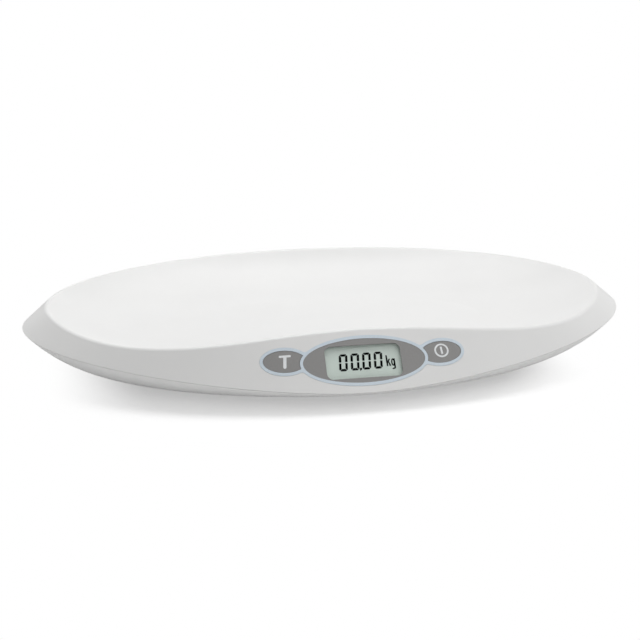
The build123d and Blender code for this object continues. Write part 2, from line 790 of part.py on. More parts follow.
def lead_start(x):
    """Where a lead leaves its socket, and where it first bends."""
    exit_plane = into(board_back + socket_depth)
    first = exit_plane.from_local_coords(Vector(x, socket_rise, 0))
    return first, first - panel.z_dir * lead_run


def cell_lead(x, y, socket):
    gauge_x, gauge_y = gauge_place(x, y)
    lane = lead_lane if x > 0 else -lead_lane
    route, bends = [], [lead_sweep]
    if y > 0:
        route = [(lane, end, lead_height) for end in lead_lane_ends]
        bends += [lead_corner, lead_corner]
    landing = plate_high + gauge_thickness + film
    ends = (gauge_x, gauge_y, lead_height), (gauge_x, gauge_y, landing)
    return lead([*lead_start(socket), *route, *ends], [*bends, lead_drop])


def battery_lead():
    wall = -(bay_length / 2 + bay_wall + film)
    return lead([*lead_start(0), (0, wall, lead_height)], [lead_sweep])


# ================================================================== the whole scale
def make_scale():
    keep("tray_shell", tray_shell())
    keep("base_shell", base_shell())
    keep("panel_trim", panel_trim())
    keep("display_fascia", display_fascia())
    keep("display_lens", display_lens())
    for name, side in (("tare", -1), ("power", 1)):
        keep(f"{name}_button", key(side))
        keep(f"{name}_plunger", switch_plunger(side))
        keep(f"{name}_switch", switch_body(side))
    keep("display_cell", display_cell())
    keep("display_holder", display_holder())
    keep("contact_strip", contact_strip())
    keep("display_board", display_board())
    keep("controller_chip", controller_chip())
    keep("board_components", *board_components())
    keep("lead_sockets", *[lead_socket(x) for x in (*socket_spots, 0)])
    keep("board_screws", *[board_screw(x, y) for x, y in post_places])
    keep("housing_screws", *[housing_screw(x, y) for x, y in mirrored_screws()])
    places = [(x, y) for y in (-foot_y, foot_y) for x in (-foot_x, foot_x)]
    for number, ((x, y), socket) in enumerate(zip(places, socket_spots), 1):
        keep(f"foot_pad_{number}", foot_pad(x, y))
        keep(f"foot_{number}", foot(x, y))
        keep(f"load_cell_{number}", load_cell(x, y))
        keep(f"load_bracket_{number}", load_bracket(x, y))
        keep(f"cell_lead_{number}", cell_lead(x, y, socket))
    keep("strain_gauges", *[strain_gauge(x, y) for x, y in places])
    keep("battery_lead", battery_lead())
    for number, (x, way) in enumerate(battery_places(), 1):
        keep(f"battery_{number}", battery(x, way))
    keep("battery_springs", *[battery_spring(x, way) for x, way in battery_places()])
    keep("battery_plates", *battery_plates())
    keep("battery_lid", battery_lid())


make_scale()
os.makedirs("parts", exist_ok=True)
for name, shape in parts.items():
    export_step(shape, f"parts/{name}.step")
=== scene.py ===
import json
from math import cos, pi, radians, sin, sqrt, tan

import bpy
from bpy.props import FloatProperty, PointerProperty, StringProperty
from mathutils import Matrix, Vector


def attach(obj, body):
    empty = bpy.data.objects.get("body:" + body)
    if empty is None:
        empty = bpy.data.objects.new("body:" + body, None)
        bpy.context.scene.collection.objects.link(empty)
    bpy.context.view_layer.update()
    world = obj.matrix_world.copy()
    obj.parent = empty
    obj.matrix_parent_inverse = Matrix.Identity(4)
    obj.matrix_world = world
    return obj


# Digital baby weighing scale: finishes of its pieces, the printed marks on its keys, the segments of its
# display and the studio that it stands in. Everything is in metres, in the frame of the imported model.

bl_info = {
    "name": "Baby scale",
    "version": (1, 0, 0),
    "blender": (4, 5, 0),
    "location": "3D View > Sidebar > Baby scale",
    "description": "Finishes, marks, display segments and studio of a digital baby scale",
    "category": "Object",
}

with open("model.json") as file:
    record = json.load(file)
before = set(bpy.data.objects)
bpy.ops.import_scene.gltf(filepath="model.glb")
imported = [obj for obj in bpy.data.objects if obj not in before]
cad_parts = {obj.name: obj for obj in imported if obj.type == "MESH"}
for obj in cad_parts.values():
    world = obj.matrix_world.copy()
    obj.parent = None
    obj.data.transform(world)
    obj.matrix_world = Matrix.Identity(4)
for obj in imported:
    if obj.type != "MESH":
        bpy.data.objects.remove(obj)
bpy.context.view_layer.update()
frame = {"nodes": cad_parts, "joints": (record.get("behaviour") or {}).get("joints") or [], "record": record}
nodes = frame["nodes"]
mm = 0.001


# ------------------------------------------------------------------ sizes and colours that a user may change
class ScaleSizes(bpy.types.PropertyGroup):
    digit_height: FloatProperty(
        name="Digit height", description="Height of a display digit", default=16.2 * mm, unit="LENGTH"
    )
    digit_width: FloatProperty(
        name="Digit width", description="Width of a display digit", default=8.0 * mm, unit="LENGTH"
    )
    digit_stroke: FloatProperty(
        name="Digit stroke", description="Width of one display segment", default=2.15 * mm, unit="LENGTH"
    )
    digit_corner: FloatProperty(
        name="Digit corner",
        description="How far a digit's corners are cut back",
        default=1.3 * mm,
        unit="LENGTH",
    )
    digit_gap: FloatProperty(
        name="Digit gap", description="Gap between two display segments", default=0.5 * mm, unit="LENGTH"
    )
    digit_lean: FloatProperty(
        name="Digit lean",
        description="How far the digits lean to the right",
        default=radians(5.3),
        unit="ROTATION",
    )
    unit_height: FloatProperty(
        name="Unit height", description="Height of the k in the kg sign", default=10.4 * mm, unit="LENGTH"
    )
    mark_height: FloatProperty(
        name="Mark height", description="Height of the tare mark", default=12.7 * mm, unit="LENGTH"
    )
    mark_stroke: FloatProperty(
        name="Mark stroke", description="Width of the tare mark's stem", default=3.0 * mm, unit="LENGTH"
    )
    power_mark: FloatProperty(
        name="Power mark", description="Diameter of the power mark", default=13.8 * mm, unit="LENGTH"
    )
    film: FloatProperty(
        name="Print thickness",
        description="Thickness of the prints and segments",
        default=0.12 * mm,
        unit="LENGTH",
    )
    floor: FloatProperty(name="Floor", description="Length of the studio floor", default=40.0, unit="LENGTH")


class ScaleColours(bpy.types.PropertyGroup):
    tray: StringProperty(name="Tray", description="White of the tray and tub, sRGB hex", default="#F1F1F0")
    trim: StringProperty(name="Trim", description="Light blue border, sRGB hex", default="#DAE6F0")
    panel: StringProperty(name="Panel", description="Grey of the panel and keys, sRGB hex", default="#8D8C8B")
    marks: StringProperty(name="Marks", description="Printed marks, sRGB hex", default="#F4F6F8")
    display: StringProperty(name="Display", description="Ground of the display, sRGB hex", default="#E3F0E8")
    segments: StringProperty(
        name="Segments", description="Dark display segments, sRGB hex", default="#060808"
    )
    floor: StringProperty(name="Floor", description="Studio floor, sRGB hex", default="#F4F4F4")


# ------------------------------------------------------------------ layout of the display and the key marks
film_gap = 0.01 * mm  # between a print or segment and the face under it

display_turn = radians(0.8)  # the cell's artwork sits a little askew behind the window
digit_row = 1.05 * mm  # middle of the digits, above the middle of the glass
digit_spots = [-18.45 * mm, -7.5 * mm, 3.45 * mm, 14.4 * mm]  # middles of the four digits
segment_mitre = 0.95  # both cuts of a mitred end together, as a share of the stroke
segment_blunt = 0.1  # each cut of a square end

comma_spot = -2.85 * mm  # between the second and the third digit
comma_lift = 1.0 * mm  # middle of its dot, above the digits' feet
comma_dot = 2.1 * mm
comma_corner = 0.5 * mm
comma_tail = (1.3 * mm, 0.8 * mm)  # length and width
comma_tail_spot = (-0.45 * mm, -1.05 * mm)  # from the dot's middle
comma_tail_turn = radians(55)

unit_spot = (25.9 * mm, -5.35 * mm)  # between k and g, on their baseline
weld = 0.001 * mm  # points of an outline closer than this are one

mark_stand_off = 12 * mm  # a flat mark starts this far out from its plunger's face, clear of the key
tare_spot = (0.4 * mm, -0.3 * mm)  # middle of the T, from the plunger's axis
crossbar_length = 11.2  # millimetres
crossbar_share = 0.7  # the crossbar's width as a share of the stem's
stem_shift = 0.9  # millimetres that the stem's foot lies left of the crossbar's middle

power_spot = (0.6 * mm, 1.35 * mm)
power_turn = radians(5)
power_squeeze = (1.01, 0.965)  # the ring is a little wider than high
power_ring_stroke = 1.7 * mm
power_bar = (1.9 * mm, 7.2 * mm)  # width and height
power_bar_cell = 0.4 * mm  # fine enough to follow the key's curve


# ------------------------------------------------------------------ studio
aim = (0, 0, 0.03)  # the lamps and the camera look at the middle of the scale
softboxes = {  # place, side in metres, power in watts
    "overhead_softbox": ((0, 0, 1.0), 0.6, 2.0),
    "high_back_softbox": ((0, 0.5, 1.75), 1.2, 7.3),
    "low_back_softbox": ((0, 1.3, 1.3), 1.2, 2.0),
    "right_softbox": ((1.2, -0.3, 1.6), 2.4, 11.6),
}
air_light = 0.33  # strength of the even light from all sides

camera_azimuth, camera_elevation, camera_distance = radians(-11.5), radians(16.75), 1.3133
camera_sensor, camera_lens = 36.0, 70.79  # millimetres
camera_shift = (-0.0126, 0.0029)
camera_sight = 200.0  # as far as the camera sees

paper_glow = 0.06  # light that the paper gives off besides what it reflects
shadow_depth = 0.859  # share of the paper's shade that the eye sees in the shadow
shadow_lift = 0.363  # and the painted white glow added over it, which lightens the shadow
shadow_middle = -0.021  # the oval outside which the paper is painted white over the shadow is centred a little to the left of the scale
shadow_side = 0.106  # half the length of its straight sides, from front to back
shadow_reach = (0.269, 0.155)  # from there to where the paper is painted white
shadow_core = 0.628  # share of that reach in which the shadow keeps its depth


# ------------------------------------------------------------------ small helpers
def linear(code):
    """sRGB hex to an opaque linear colour."""
    values = [int(code[i : i + 2], 16) / 255 for i in (1, 3, 5)]
    return [v / 12.92 if v <= 0.04045 else ((v + 0.055) / 1.055) ** 2.4 for v in values] + [1.0]


def shade(code, factor):
    """The colour, made lighter or darker by a factor."""
    return [v * factor for v in linear(code)[:3]] + [1.0]


def add_node(tree, kind, inputs=None, **settings):
    """Adds a node with its settings; an input is a value, a socket or another node's first output."""
    node = tree.nodes.new(kind)
    for name, value in settings.items():
        setattr(node, name, value)
    for name, value in (inputs or {}).items():
        if isinstance(value, bpy.types.Node):
            value = value.outputs[0]
        if isinstance(value, bpy.types.NodeSocket):
            tree.links.new(value, node.inputs[name])
        else:
            node.inputs[name].default_value = value
    return node


def empty_tree(holder):
    """Node tree of a material or world, without its usual nodes."""
    holder.use_nodes = True
    holder.node_tree.nodes.clear()
    return holder.node_tree


def deselect_all():
    if bpy.context.mode != "OBJECT":
        bpy.ops.object.mode_set(mode="OBJECT")
    bpy.ops.object.select_all(action="DESELECT")


def select_only(*pieces):
    deselect_all()
    for piece in pieces:
        piece.select_set(True)
    bpy.context.view_layer.objects.active = pieces[0]


def settle(piece, place=None):
    """Puts the piece at a place and moves that place into its mesh."""
    if place is not None:
        piece.matrix_world = place
    select_only(piece)
    bpy.ops.object.transform_apply(location=True, rotation=True, scale=True)


def join(name, pieces):
    """Makes one named piece of all."""
    select_only(*pieces)
    if len(pieces) > 1:
        bpy.ops.object.join()
    pieces[0].name = name
    pieces[0].data.name = name
    return pieces[0]


def finish_with(piece, material):
    piece.data.materials.clear()
    piece.data.materials.append(material)


def shift(x, y, z=0):
    return Matrix.Translation((x, y, z))


def turn(angle):
    return Matrix.Rotation(angle, 4, "Z")


# ------------------------------------------------------------------ the panel's own frame
tare_joint = next(j for j in frame["joints"] if j["name"] == "tare_press")
normal = -Vector(tare_joint["axis"]).normalized()
across = Vector((1, 0, 0))
upward = normal.cross(across)


def face_of(node):
    """Matrix at the middle of a node's face towards the panel's front: X across, Y up the panel, Z out."""
    spots = [v.co for v in nodes[node].data.vertices]
    middle = []
    for axis in (across, upward):
        along = [spot.dot(axis) for spot in spots]
        middle.append((min(along) + max(along)) / 2)
    out = max(spot.dot(normal) for spot in spots)
    origin = across * middle[0] + upward * middle[1] + normal * out
    return Matrix.Translation(origin) @ Matrix((across, upward, normal)).transposed().to_4x4()


# ------------------------------------------------------------------ materials
def new_material(name, inputs):
    """A material, and its Principled shader with the given sockets set."""
    material = bpy.data.materials.new(name)
    tree = empty_tree(material)
    base = add_node(tree, "ShaderNodeBsdfPrincipled", inputs)
    add_node(tree, "ShaderNodeOutputMaterial", {"Surface": base})
    return material, base


def tint(base, colour, patch, darkest, lightest=1.0, detail=2.0):
    """Lets the colour drift between two shades of itself, in patches of the given width."""
    tree = base.id_data
    place = add_node(tree, "ShaderNodeTexCoord").outputs["Object"]
    patches = add_node(tree, "ShaderNodeTexNoise", {"Vector": place, "Scale": 1 / patch, "Detail": detail})
    drift = add_node(tree, "ShaderNodeValToRGB", {"Fac": patches})
    dark, light = drift.color_ramp.elements
    dark.position, dark.color = 0.35, shade(colour, darkest)
    light.position, light.color = 0.65, shade(colour, lightest)
    tree.links.new(drift.outputs["Color"], base.inputs["Base Color"])


def skin(base, width, depth, detail=2.0):
    """Gives the surface bumps of the given width and depth."""
    tree = base.id_data
    place = add_node(tree, "ShaderNodeTexCoord").outputs["Object"]
    grain = add_node(tree, "ShaderNodeTexNoise", {"Vector": place, "Scale": 1 / width, "Detail": detail})
    relief = add_node(tree, "ShaderNodeBump", {"Height": grain, "Distance": depth})
    tree.links.new(relief.outputs["Normal"], base.inputs["Normal"])


def gloss_abs(name, colour, roughness=0.3):
    """ABS, injection moulded in a finely stoned tool: a soft sheen with a very faint orange peel."""
    material, base = new_material(name, {"Roughness": roughness, "IOR": 1.53})
    # cooling leaves patches about 60 mm across that differ by a shade too faint to name
    tint(base, colour, 60 * mm, 0.985)
    # orange peel of a moulded skin: waves 7 mm long and a few microns high
    skin(base, 7 * mm, 0.006 * mm, detail=1.0)
    return material


def satin_polycarbonate(name, colour, roughness=0.42):
    """Polycarbonate moulded in a finely etched tool: even, with a soft sheen."""
    material, base = new_material(name, {"Roughness": roughness, "IOR": 1.58})
    tint(base, colour, 0.9 * mm, 0.96, 1.03, detail=3.0)
    # etched grain is 0.1 mm wide in life; it is drawn 0.5 mm wide so that it shows
    skin(base, 0.5 * mm, 0.012 * mm, detail=3.0)
    return material


def clear_acrylic(name):
    """Polished acrylic window: nearly invisible, it takes only a breath of light from what lies behind it."""
    inputs = {"Roughness": 0.05, "IOR": 1.49, "Alpha": 0.02, "Specular IOR Level": 0.25}
    material, base = new_material(name, {"Base Color": linear("#3A3F3D"), **inputs})
    skin(base, 20 * mm, 0.004 * mm, detail=0.0)
    return material


def crystal_glass(name, colour):
    """Liquid crystal cell over a matt reflector: grey-green and almost even."""
    material, base = new_material(name, {"Roughness": 0.28, "IOR": 1.52})
    tint(base, colour, 14 * mm, 0.97, detail=1.0)
    # the polariser's anti-glare grain is 0.05 mm wide in life; it is drawn 0.6 mm wide so that it shows
    skin(base, 0.6 * mm, 0.002 * mm)
    return material


def plain_ink(name, colour, gloss=0.5):
    """Pad-printed or switched ink: flat and even, with a faint unevenness where it was laid down."""
    material, base = new_material(name, {"Roughness": 0.5, "IOR": 1.5, "Specular IOR Level": gloss})
    tint(base, colour, 1.5 * mm, 0.96)
    return material


def soft_rubber(name, colour, roughness=0.75):
    """Moulded elastomer: matt, slightly uneven, with a fine skin."""
    material, base = new_material(name, {"Roughness": roughness, "IOR": 1.5})
    tint(base, colour, 3 * mm, 0.85, 1.1, detail=4.0)
    skin(base, 0.6 * mm, 0.03 * mm, detail=3.0)
    return material


def matt_moulding(name, colour, roughness=0.55):
    """Filled nylon or ABS from a sandblasted tool: dull, with a fine even tooth."""
    material, base = new_material(name, {"Roughness": roughness, "IOR": 1.5})
    tint(base, colour, 2 * mm, 0.94, 1.04, detail=3.0)
    # blasted grain is 0.1 mm wide in life; it is drawn 0.5 mm wide so that it shows
    skin(base, 0.5 * mm, 0.02 * mm, detail=3.0)
    return material


def nickel_plate(name, colour="#B9BBBD"):
    """Nickel-plated steel: bright metal with fine rolling lines along X."""
    material, base = new_material(name, {"Metallic": 1.0, "Roughness": 0.3})
    tree = base.id_data
    place = add_node(tree, "ShaderNodeTexCoord").outputs["Object"]
    # rolling lines are 33 mm long and 0.7 mm apart: that many of each to the metre
    stretch = add_node(tree, "ShaderNodeMapping", {"Vector": place, "Scale": (30.0, 1500.0, 1500.0)})
    lines = add_node(tree, "ShaderNodeTexNoise", {"Vector": stretch, "Scale": 1.0, "Detail": 2.0})
    sheen = add_node(tree, "ShaderNodeValToRGB", {"Fac": lines})
    dull, bright = sheen.color_ramp.elements
    dull.color, bright.color = shade(colour, 0.85), linear(colour)
    tree.links.new(sheen.outputs["Color"], base.inputs["Base Color"])
    return material


def glass_fibre_board(name):
    """Glass-fibre board under green solder mask: copper tracks and the 0.4 mm weave show faintly."""
    material, base = new_material(name, {"Roughness": 0.35, "IOR": 1.52})
    tree = base.id_data
    tracks = {
        "Vector": add_node(tree, "ShaderNodeTexCoord").outputs["Object"],
        "Color1": linear("#2E6B45"),
        "Color2": linear("#2A6340"),
        "Mortar": linear("#3C8458"),
        "Scale": 1.0,
        "Mortar Size": 0.25 * mm,
        "Brick Width": 9 * mm,
        "Row Height": 2.2 * mm,
    }
    mask = add_node(tree, "ShaderNodeTexBrick", tracks)
    tree.links.new(mask.outputs["Color"], base.inputs["Base Color"])
    skin(base, 0.4 * mm, 0.01 * mm)
    return material


def cell_jacket(name):
    """Shrunk jacket of an alkaline cell: dark satin film with a bright band near one end."""
    material, base = new_material(name, {"Roughness": 0.32, "IOR": 1.5})
    tree = base.id_data
    place = add_node(tree, "ShaderNodeTexCoord").outputs["Object"]
    along = add_node(tree, "ShaderNodeSeparateXYZ", {"Vector": place}).outputs["Y"]
    bay = {"Value": along, "From Min": -28 * mm, "From Max": 28 * mm}
    band = add_node(tree, "ShaderNodeValToRGB", {"Fac": add_node(tree, "ShaderNodeMapRange", bay)})
    band.color_ramp.interpolation = "CONSTANT"
    film, bright = band.color_ramp.elements
    film.color = linear("#2B3138")
    bright.position, bright.color = 0.72, linear("#C08A3C")
    tree.links.new(band.outputs["Color"], base.inputs["Base Color"])
    skin(base, 5 * mm, 0.01 * mm)
    return material


def insulated_lead(name, colour):
    """Soft PVC round the lead's wires: smooth, slightly waxy."""
    material, base = new_material(name, {"Roughness": 0.4, "IOR": 1.53})
    tint(base, colour, 12 * mm, 0.9)
    return material


# ------------------------------------------------------------------ pieces
def bar(length, width, thickness, left=(0.0, 0.0), right=(0.0, 0.0)):
    """A flat bar at the origin, long along X.

    left and right say how far the upper and the lower corner of that end are cut.
    """
    deselect_all()
    bpy.ops.mesh.primitive_cube_add(size=1.0, location=(0, 0, 0))
    piece = bpy.context.active_object
    piece.scale = (length, width, thickness)
    settle(piece)
    corners = [(-1, 1, left[0]), (-1, -1, left[1]), (1, 1, right[0]), (1, -1, right[1])]
    almost_half = 0.499  # a corner lies half the length and half the width from the middle
    for end, side, cut in corners:
        if cut == 0:
            continue
        bpy.ops.object.mode_set(mode="EDIT")
        bpy.ops.mesh.select_mode(type="EDGE")
        bpy.ops.mesh.select_all(action="DESELECT")
        bpy.ops.object.mode_set(mode="OBJECT")
        for edge in piece.data.edges:
            a, b = (piece.data.vertices[i].co for i in edge.vertices)
            upright = abs(a.z - b.z) > thickness / 2
            edge.select = upright and end * a.x > almost_half * length and side * a.y > almost_half * width
        bpy.ops.object.mode_set(mode="EDIT")
        bpy.ops.mesh.bevel(offset=cut, segments=1, affect="EDGES")
        bpy.ops.object.mode_set(mode="OBJECT")
    return piece


def digit(place, sizes):
    """The six outer segments of a digit, its centre at place: mitred bars with outer corners cut back."""
    outer = sizes.digit_corner / 2
    inner = segment_mitre * sizes.digit_stroke - outer
    blunt = (segment_blunt * sizes.digit_stroke,) * 2
    mitre_gap = sizes.digit_gap / sqrt(2)
    wide = sizes.digit_width - sizes.digit_corner - 2 * mitre_gap
    tall = (sizes.digit_height - sizes.digit_corner) / 2 - mitre_gap - sizes.digit_gap
    side = (sizes.digit_width - sizes.digit_stroke) / 2
    end = (sizes.digit_height - sizes.digit_stroke) / 2
    rise = sizes.digit_gap + tall / 2
    upright = pi / 2 - sizes.digit_lean
    segments = [
        (0, end, 0, wide, (outer, inner), (outer, inner)),
        (0, -end, 0, wide, (inner, outer), (inner, outer)),
        (-side, rise, upright, tall, blunt, (outer, inner)),
        (side, rise, upright, tall, blunt, (inner, outer)),
        (-side, -rise, upright, tall, (outer, inner), blunt),
        (side, -rise, upright, tall, (inner, outer), blunt),
    ]
    pieces = []
    for x, y, angle, length, left, right in segments:
        piece = bar(length, sizes.digit_stroke, sizes.film, left, right)
        settle(piece, place @ shift(x + y * tan(sizes.digit_lean), y) @ turn(angle))
        pieces.append(piece)
    return pieces


def comma(place, sizes):
    """A dot with its corners cut, at place, and a short tail."""
    cut = (comma_corner, comma_corner)
    dot = bar(comma_dot, comma_dot, sizes.film, cut, cut)
    tail = bar(*comma_tail, sizes.film)
    settle(dot, place)
    settle(tail, place @ shift(*comma_tail_spot) @ turn(comma_tail_turn))
    return [dot, tail]


def arc(middle, half_width, half_height, start, stop, count):
    """Points along an ellipse from one angle to another, in degrees."""
    angles = [radians(start + (stop - start) * i / (count - 1)) for i in range(count)]
    return [(middle[0] + half_width * cos(a), middle[1] + half_height * sin(a)) for a in angles]


def kg_outlines(height):
    """Outlines of a k of this height, a single-storey g and its eye, in millimetres over the baseline."""
    low = 6.8  # height of a letter without its riser
    k_left, k_right = -4.2, -2.8  # stem of the k
    g_left, g_right = 2.8, 4.2  # stem of the g
    k = [(k_left, 0), (k_right, 0), (k_right, 2.6), (-2.3, 3.3), (-1.55, 0), (0.1, 0), (-1.6, 4.6)]
    k += [(-0.05, low), (-1.7, low), (k_right, 4.9), (k_right, height), (k_left, height)]
    bowl = arc((2.3, 3.4), 1.9, 3.6, 74.7, 285.3, 28)
    hook_inside = arc((2.0, -1.3), 0.8, 0.8, 0, -130, 9)
    hook_outside = arc((2.0, -1.3), 2.2, 2.1, -130, 0, 13)
    g = [(g_right, low), (g_left, low), *bowl, *hook_inside, *hook_outside]
    eye = arc((2.18, 3.4), 0.55, 2.2, 0, 345, 24)
    return [k, g, eye]


def t_outlines(height, stroke):
    """Closed outlines of a T's crossbar and stem with rounded ends, in millimetres from its middle."""
    top, half_stem = height / 2, stroke / 2
    half_bar = crossbar_share * half_stem
    arm, row = crossbar_length / 2 - half_bar, top - half_bar
    left_end = arc((-arm, row), half_bar, half_bar, 90, 270, 9)
    right_end = arc((arm, row), half_bar, half_bar, -90, 90, 9)
    foot = arc((-stem_shift, half_stem - top), half_stem, half_stem, 180, 360, 13)
    return left_end + right_end, [(half_stem, row - half_bar), (-half_stem, row - half_bar), *foot]


def flat_sign(name, outlines, thickness=0.0):
    """A flat solid or sheet between closed outlines in millimetres; an outline inside another is a hole."""
    curve = bpy.data.curves.new(name, "CURVE")
    curve.dimensions = "2D"
    curve.fill_mode = "BOTH"
    curve.extrude = thickness / 2
    for outline in outlines:
        spline = curve.splines.new("POLY")
        spline.points.add(len(outline) - 1)
        for point, (x, y) in zip(spline.points, outline):
            point.co = (x * mm, y * mm, 0, 1)
        spline.use_cyclic_u = True
    piece = bpy.data.objects.new(name, curve)
    bpy.context.scene.collection.objects.link(piece)
    select_only(piece)
    bpy.ops.object.convert(target="MESH")
    return bpy.context.active_object


def weld_faces(piece):
    """Closes a solid whose faces and sides were made apart, and turns all of them outwards."""
    select_only(piece)
    bpy.ops.object.mode_set(mode="EDIT")
    bpy.ops.mesh.select_all(action="SELECT")
    bpy.ops.mesh.remove_doubles(threshold=weld)
    bpy.ops.mesh.normals_make_consistent(inside=False)
    bpy.ops.object.mode_set(mode="OBJECT")


def flat_grid(width, height, cell):
    """A flat grid at the origin."""
    deselect_all()
    bpy.ops.mesh.primitive_grid_add(
        x_subdivisions=round(width / cell), y_subdivisions=round(height / cell), size=1.0, location=(0, 0, 0)
    )
    piece = bpy.context.active_object
    piece.scale = (width, height, 1.0)
    settle(piece)
    return piece


def flat_ring(radius, stroke, count=72, bands=4):
    """A flat ring at the origin."""
    deselect_all()
    bpy.ops.mesh.primitive_circle_add(vertices=count, radius=radius, fill_type="NGON", location=(0, 0, 0))
    piece = bpy.context.active_object
    bpy.ops.object.mode_set(mode="EDIT")
    bpy.ops.mesh.select_mode(type="FACE")
    bpy.ops.mesh.select_all(action="SELECT")
    for _ in range(bands):
        bpy.ops.mesh.inset(thickness=stroke / bands)
    bpy.ops.mesh.delete(type="FACE")
    bpy.ops.object.mode_set(mode="OBJECT")
    return piece


def print_on(piece, key, thickness):
    """Lays a flat mark on the key's curved face and gives it the thickness of its ink."""
    select_only(piece)
    wrap = piece.modifiers.new("wrap", "SHRINKWRAP")
    wrap.target = nodes[key]
    wrap.wrap_method = "PROJECT"
    wrap.use_negative_direction = True
    wrap.offset = film_gap
    bpy.ops.object.modifier_apply(modifier=wrap.name)
    solid = piece.modifiers.new("ink", "SOLIDIFY")
    solid.thickness = thickness
    solid.offset = 1.0
    bpy.ops.object.modifier_apply(modifier=solid.name)


# ------------------------------------------------------------------ steps
class ScaleOperator:
    bl_options = {"REGISTER", "UNDO"}

    @property
    def sizes(self):
        return bpy.context.scene.scale_sizes

    @property
    def colours(self):
        return bpy.context.scene.scale_colours


class SCALE_OT_finish_nodes(ScaleOperator, bpy.types.Operator):
    """Gives each moulded, pressed or bought-in piece its finish"""

    bl_idname = "scale.finish_nodes"
    bl_label = "Finish the pieces"

    def execute(self, context):
        colours = self.colours
        finishes = {
            "tray": gloss_abs("gloss_abs_tray", colours.tray),
            "tub": gloss_abs("gloss_abs_tub", colours.tray),
            "trim": satin_polycarbonate("satin_trim", colours.trim, 0.3),
            "panel": satin_polycarbonate("satin_panel", colours.panel),
            "lens": clear_acrylic("acrylic_window"),
            "cell_glass": crystal_glass("liquid_crystal_cell", colours.display),
            "inner_plastic": matt_moulding("black_nylon", "#2C2E30"),
            "socket": matt_moulding("natural_nylon", "#E6E1D3", 0.45),
            "foot_plastic": matt_moulding("foot_abs", "#C6C8C9"),
            "pad_rubber": soft_rubber("pad_rubber", "#4C4E50"),
            "strip_rubber": soft_rubber("strip_silicone", "#C98D8A", 0.55),
            "gauge": soft_rubber("gauge_sealant", "#C4A35E", 0.35),
            "steel": nickel_plate("nickel_plate"),
            "board": glass_fibre_board("solder_mask"),
            "battery_case": cell_jacket("battery_jacket"),
            "lead": insulated_lead("lead_pvc", "#C8463A"),
        }
        for part in frame["record"]["subparts"]:
            node = nodes[part["node"]]
            if not node.data.materials:
                node.data.materials.append(None)
            for place in node.material_slots:
                place.material = finishes[part["material_slot"]]
        return {"FINISHED"}


class SCALE_OT_display_segments(ScaleOperator, bpy.types.Operator):
    """Draws the dark segments of the display on the front of its glass"""

    bl_idname = "scale.display_segments"
    bl_label = "Display segments"

    def execute(self, context):
        sizes = self.sizes
        glass = face_of("display_cell") @ shift(0, 0, sizes.film / 2 + film_gap) @ turn(display_turn)
        pieces = []
        for x in digit_spots:
            pieces += digit(glass @ shift(x, digit_row), sizes)
        pieces += comma(glass @ shift(comma_spot, digit_row - sizes.digit_height / 2 + comma_lift), sizes)
        digits = join("display_digits", pieces)

        unit = flat_sign("unit", kg_outlines(sizes.unit_height / mm), sizes.film)
        settle(unit, glass @ shift(*unit_spot))
        unit = join("display_unit", [unit])
        weld_faces(unit)

        # the segments lie inside the cell, so they have no gloss of their own
        ink = plain_ink("switched_segments", self.colours.segments, gloss=0.0)
        for piece in (digits, unit):
            finish_with(piece, ink)
            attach(piece, "scale")
        return {"FINISHED"}


class SCALE_OT_tare_mark(ScaleOperator, bpy.types.Operator):
    """Prints the tare key's T"""

    bl_idname = "scale.tare_mark"
    bl_label = "Tare mark"

    def execute(self, context):
        sizes = self.sizes
        crossbar, stem = t_outlines(sizes.mark_height / mm, sizes.mark_stroke / mm)
        mark = join("tare_mark", [flat_sign("crossbar", [crossbar]), flat_sign("stem", [stem])])
        settle(mark, face_of("tare_plunger") @ shift(*tare_spot, mark_stand_off))
        print_on(mark, "tare_button", sizes.film)
        finish_with(mark, plain_ink("pale_print_tare", self.colours.marks))
        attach(mark, "tare_key")
        return {"FINISHED"}


class SCALE_OT_power_mark(ScaleOperator, bpy.types.Operator):
    """Prints the power key's circle and bar"""

    bl_idname = "scale.power_mark"
    bl_label = "Power mark"

    def execute(self, context):
        sizes = self.sizes
        ring = flat_ring(sizes.power_mark / 2, power_ring_stroke)
        settle(ring, Matrix.Diagonal((*power_squeeze, 1, 1)))
        mark = join("power_mark", [ring, flat_grid(*power_bar, power_bar_cell)])
        settle(mark, face_of("power_plunger") @ shift(*power_spot, mark_stand_off) @ turn(power_turn))
        print_on(mark, "power_button", sizes.film)
        finish_with(mark, plain_ink("pale_print_power", self.colours.marks))
        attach(mark, "power_key")
        return {"FINISHED"}


